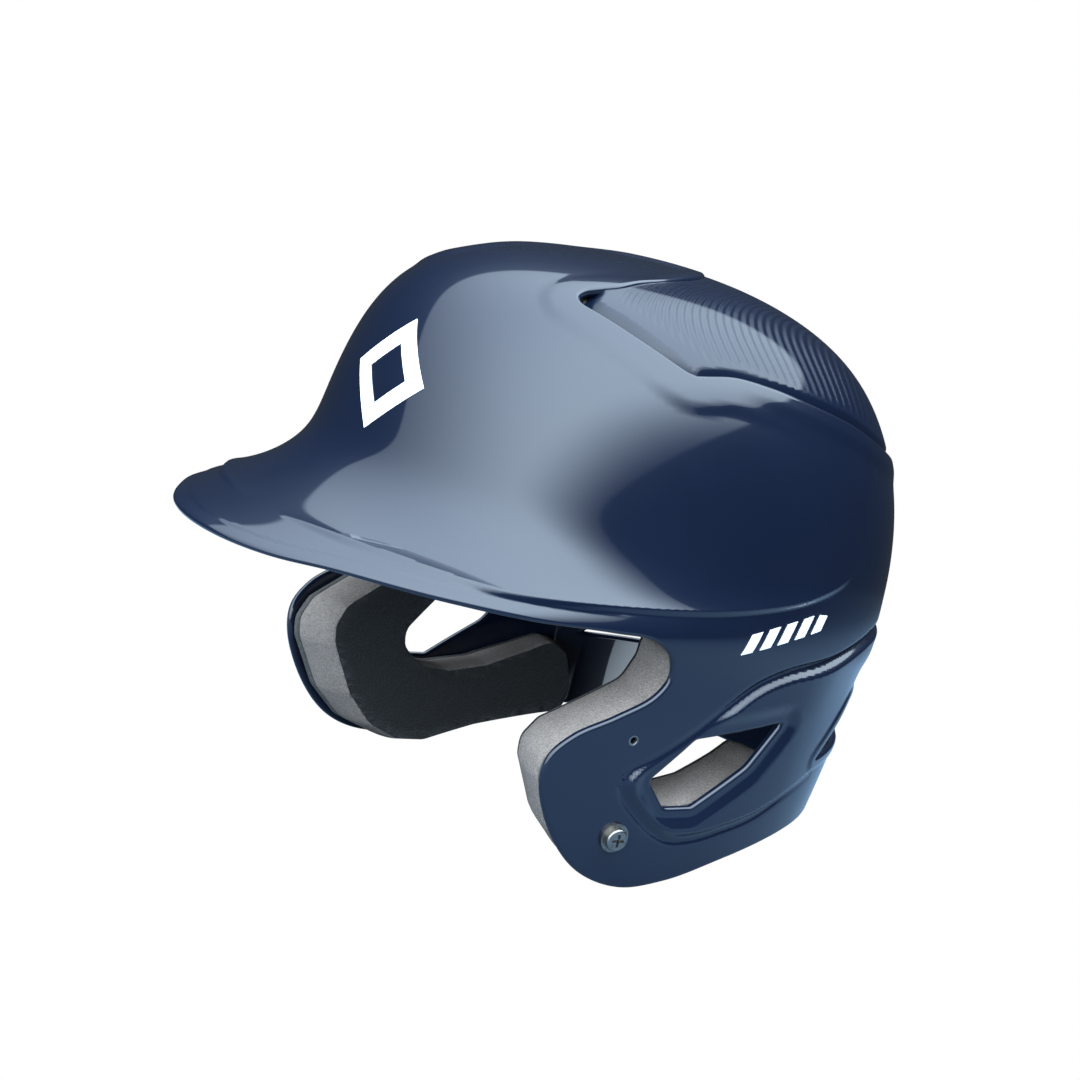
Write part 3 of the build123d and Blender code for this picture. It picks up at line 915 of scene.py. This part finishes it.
# the ridges fade out before the slot, the side wall and the tongue
folded = np.column_stack([across, panel_points[:, 1:]])
clear_of_slot = step(distance(folded, slot_line) - 9.5, 7)
clear_of_rim = step(distance(folded, rim_line) - 6.5, 3)
clear_of_tongue = step(distance(folded, tongue_line) - 1.5, 3)
set_point_values(panel, "ridge_depth", clear_of_slot * (clear_of_rim * clear_of_tongue))


# ---------------------------------------------------------------- padding
EAR_PAD = [(-5, -8), (-5, -15), (-10, -24), (-43, -41.5), (-48.5, -49), (-48, -56), (-37.5, -76),
           (-25, -88.3), (-10.5, -94.2), (3, -94.5), (27, -87.5), (50, -82.5), (66, -79), (69, -70),
           (66, -57), (59, -52), (48, -57), (30, -64), (12, -67), (-3, -65), (-12, -57), (-12, -50),
           (4, -34), (20, -28), (22, -8)]
EAR_PAD_ROUND = [3, 6, 10, 6, 7, 7, 12, 12, 12, 12, 12, 12, 5, 6, 6, 5, 12, 14, 12, 12, 8, 8,
                 12, 6, 3]
EAR_OUTLINE_DEPTH = 13.0                  # the outline is drawn on the pad's middle layer
SLOT_OF = {"base_strip_and_painted_shade": "base_foam", "foam_body": "pad_foam", "fabric_face": "pad_fabric"}
NODE_OF = {"base_strip_and_painted_shade": "pad_base", "foam_body": "pad_foam", "fabric_face": "pad_cover"}


def finish_pad(obj, where, part):
    """A layer of the pad at a place, such as the foam body at left_side."""
    finish_piece(obj, SLOT_OF[part], f"{where}_{NODE_OF[part]}")
    return obj, where, part


def mirrored_pads(pieces):
    """The same layers on the right."""
    for obj, where, part in pieces:
        finish_pad(mirror_object(obj), right_hand(where), part)


def pad_face(theta, t, depth, outline_line, edge, round_off):
    """A pad's inner face: crowned in the middle and rounded off towards its edge."""
    gap = distance(skin(theta.ravel(), t.ravel()), outline_line, closed=True)
    off = np.clip(1 - gap / edge, 0, 1)
    drop = round_off * (1 - np.sqrt(1 - off * off))
    return below_skin(theta, t, depth - drop.reshape(theta.shape))


def build_pad(where, outline, top, foam_thick, foam_material, edge, round_off, bulge, fine):
    """A foam body with sides that swell, and the brushed fabric bonded over its inner face."""
    line = on_skin(outline)

    def inner(theta, t):
        return pad_face(theta, t, top + foam_thick, line, edge, round_off)

    def cover(theta, t):
        return pad_face(theta, t, top + foam_thick + COVER_T, line, edge, round_off)

    outer = layer(top, foam_thick)[0]
    body = make_object(f"{where}_foam_body", *plate(
        outline, [], outer, inner, fine=fine, coarse=fine, rim=8, bulge=bulge), foam_material)
    face = make_object(f"{where}_fabric_face", *plate(
        outline, [], inner, cover, fine=fine, coarse=fine, rim=4, bulge=0.5), black_fabric)
    return [finish_pad(body, where, "foam_body"), finish_pad(face, where, "fabric_face")]


def patch(angles, rows, radius=0.16):
    """A round-cornered outline between two angles, in degrees, and two rows.

    radius is a share of the shorter side.
    """
    (a, b), (c, d) = angles, rows
    middle_angle, middle_row = radians((a + b) / 2), (c + d) / 2
    width = np.linalg.norm(skin(radians(b), middle_row) - skin(radians(a), middle_row))
    height = np.linalg.norm(skin(middle_angle, d) - skin(middle_angle, c))
    box = round_corners([(0, 0), (width, 0), (width, height), (0, height)],
                        radius * min(width, height), 2.0)
    dense = []
    for start, end in zip(box, np.roll(box, -1, 0)):
        count = max(int(np.linalg.norm(end - start) / 2), 1)
        dense.append(start + (end - start) * np.linspace(0, 1, count, endpoint=False)[:, None])
    dense = np.vstack(dense)
    return np.stack([np.radians(a + (b - a) * dense[:, 0] / width),
                     c + (d - c) * dense[:, 1] / height], -1)


ear_pad = trace(round_corners(EAR_PAD, EAR_PAD_ROUND, 1.8), SIDE_VIEW, (radians(89), 8.0),
                EAR_OUTLINE_DEPTH)
# the base strip: a foam layer whose dark grey is also painted shade in the gap between the shell's
# rim and the light foam
base = make_object("left_ear_base_strip", *plate(
    ear_pad, [], *layer(PAD_TOP, EAR_BASE_T), fine=2.6, coarse=2.6, rim=6, bulge=0.8), dark_foam_and_painted_shade)
ear_base = finish_pad(base, "left_ear", "base_strip_and_painted_shade")
ear = build_pad("left_ear", ear_pad, PAD_TOP + EAR_BASE_T, EAR_FOAM_T, light_foam,
                5.0, 2.2, 1.6, 2.6)
mirrored_pads([ear_base] + ear)

# Each liner pad: its angles in degrees and rows, the depth of its outer face, how wide and how
# deep its inner face is rounded off, and how far its sides swell.
LINERS = [("left_side", (60, 124), (2.9, 6.0), PAD_TOP, 7.0, 4.0, 1.2),
          ("left_crown", (25, 155), (0.42, 1.5), CROWN_PAD_TOP, 7.0, 4.0, 1.2),
          ("rear", (143, 217), (3.9, 9.5), PAD_TOP, 8.0, 5.0, 1.5),
          ("front", (-46, 46), (2.7, 4.7), PAD_TOP, 8.0, 5.0, 1.5)]
for where, angles, rows, top, edge, round_off, bulge in LINERS:
    pads = build_pad(where, patch(angles, rows), top, LINER_T, dark_foam_and_painted_shade,
                     edge, round_off, bulge, 3.5)
    if where.startswith("left"):
        mirrored_pads(pads)


# ---------------------------------------------------------------- camera, light and floor
def place_camera():
    """A long lens on the wearer's left, a little above the brim and tilted."""
    azimuth, elevation, roll, away = radians(55), radians(12), radians(10.5), 1.5
    toward = Vector((sin(azimuth) * cos(elevation), -cos(azimuth) * cos(elevation), sin(elevation)))
    right = Vector((cos(azimuth), sin(azimuth), 0))
    up = toward.cross(right)
    x_axis = cos(roll) * right + sin(roll) * up
    y_axis = cos(roll) * up - sin(roll) * right
    target = Vector((-7.5, CROWN_Y, 7 + BELT_Z)) * MM
    camera = bpy.data.objects.new("camera", bpy.data.cameras.new("camera"))
    camera.data.lens, camera.data.sensor_width = 130, 36
    camera.data.clip_start, camera.data.clip_end = 0.05, 100
    camera.matrix_world = Matrix.Translation(target + toward * away) @ \
        Matrix((x_axis, y_axis, toward)).transposed().to_4x4()
    bpy.context.scene.collection.objects.link(camera)
    bpy.context.scene.camera = camera


# A soft canopy over the helmet: the sides of the light tent, as normals of planes through
# the helmet that bound the lit directions, and how softly each one ends.
CANOPY_SIDES = [((0.872, -0.044, 0.488), -0.44, 0.012), ((0.0, -0.387, 0.922), 0.24, 0.02),
                ((-0.62, -0.30, 0.73), -0.16, 0.34), ((0.872, -0.044, 0.488), 0.0, 1.0)]
CANOPY_LIGHT, CANOPY_SHADE, CANOPY_COLOUR = 9.2, 0.05, (0.71, 0.86, 1.0)


def studio():
    """White behind, a bright canopy above and in front, and dark lower sides to reflect."""
    world = bpy.data.worlds.new("studio")
    bpy.context.scene.world = world
    world.use_nodes = True
    nodes, links = world.node_tree.nodes, world.node_tree.links
    direction = nodes.new("ShaderNodeTexCoord").outputs["Generated"]
    lit = None
    for normal, offset, softness in CANOPY_SIDES:
        dot = nodes.new("ShaderNodeVectorMath")
        dot.operation = "DOT_PRODUCT"
        links.new(direction, dot.inputs[0])
        dot.inputs[1].default_value = Vector(normal).normalized()
        edge = smooth_range(nodes, links, dot.outputs["Value"],
                            offset - softness, offset + softness)
        lit = edge if lit is None else math_node(nodes, links, "MULTIPLY", lit, edge)
    tent = nodes["Background"]
    tent.inputs["Color"].default_value = (*CANOPY_COLOUR, 1)
    links.new(spread(nodes, links, lit, CANOPY_SHADE, CANOPY_LIGHT), tent.inputs["Strength"])
    seen = nodes.new("ShaderNodeBackground")
    seen.inputs["Color"].default_value = (1, 1, 1, 1)
    mix, path = nodes.new("ShaderNodeMixShader"), nodes.new("ShaderNodeLightPath")
    links.new(path.outputs["Is Camera Ray"], mix.inputs["Fac"])
    links.new(tent.outputs["Background"], mix.inputs[1])
    links.new(seen.outputs["Background"], mix.inputs[2])
    links.new(mix.outputs["Shader"], nodes["World Output"].inputs["Surface"])
    world.cycles.sampling_method = "MANUAL"
    world.cycles.sample_map_resolution = 512
    bpy.context.scene.view_settings.view_transform = "Standard"


FLOOR_RADIUS, FLOOR_FADE = 0.62, (0.22, 0.60)      # the floor thins out between these radii


def build_floor():
    """Grey-blue paper that reflects up into the helmet and that the camera doesn't see."""
    material, nodes, links, shader = new_material("paper", (0.10, 0.14, 0.19), 0.9,
                                                  Specular_IOR_Level=0.1)
    fibres = ramp(nodes, links, noise(nodes, links, 30, 3),
                  (0.098, 0.137, 0.186), (0.102, 0.143, 0.194))
    links.new(fibres, shader.inputs["Base Color"])
    length = nodes.new("ShaderNodeVectorMath")
    length.operation = "LENGTH"
    links.new(nodes.new("ShaderNodeTexCoord").outputs["Object"], length.inputs[0])
    fade = smooth_range(nodes, links, length.outputs["Value"], *FLOOR_FADE, 1.0, 0.0)
    camera_ray = nodes.new("ShaderNodeLightPath").outputs["Is Camera Ray"]
    unseen = math_node(nodes, links, "SUBTRACT", 1.0, camera_ray)
    links.new(math_node(nodes, links, "MULTIPLY", fade, unseen), shader.inputs["Alpha"])
    mesh = bpy.data.meshes.new("floor")
    turns = [2 * pi * k / 64 for k in range(64)]
    mesh.from_pydata([(FLOOR_RADIUS * cos(a), FLOOR_RADIUS * sin(a), 0) for a in turns], [],
                     [list(range(64))])
    mesh.materials.append(material)
    floor = bpy.data.objects.new("floor", mesh)
    bpy.context.scene.collection.objects.link(floor)


place_camera()
studio()
build_floor()

# ---------------------------------------------------------------- marks and fasteners
for node in ("front_mark", "left_side_mark", "right_side_mark"):
    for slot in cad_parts[node].material_slots:
        slot.material = ink
for node in ("left_guard_screw", "right_guard_screw", "left_guard_washer", "right_guard_washer",
             "left_upper_t_nut", "right_upper_t_nut", "left_lower_t_nut", "right_lower_t_nut"):
    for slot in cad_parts[node].material_slots:
        slot.material = metal
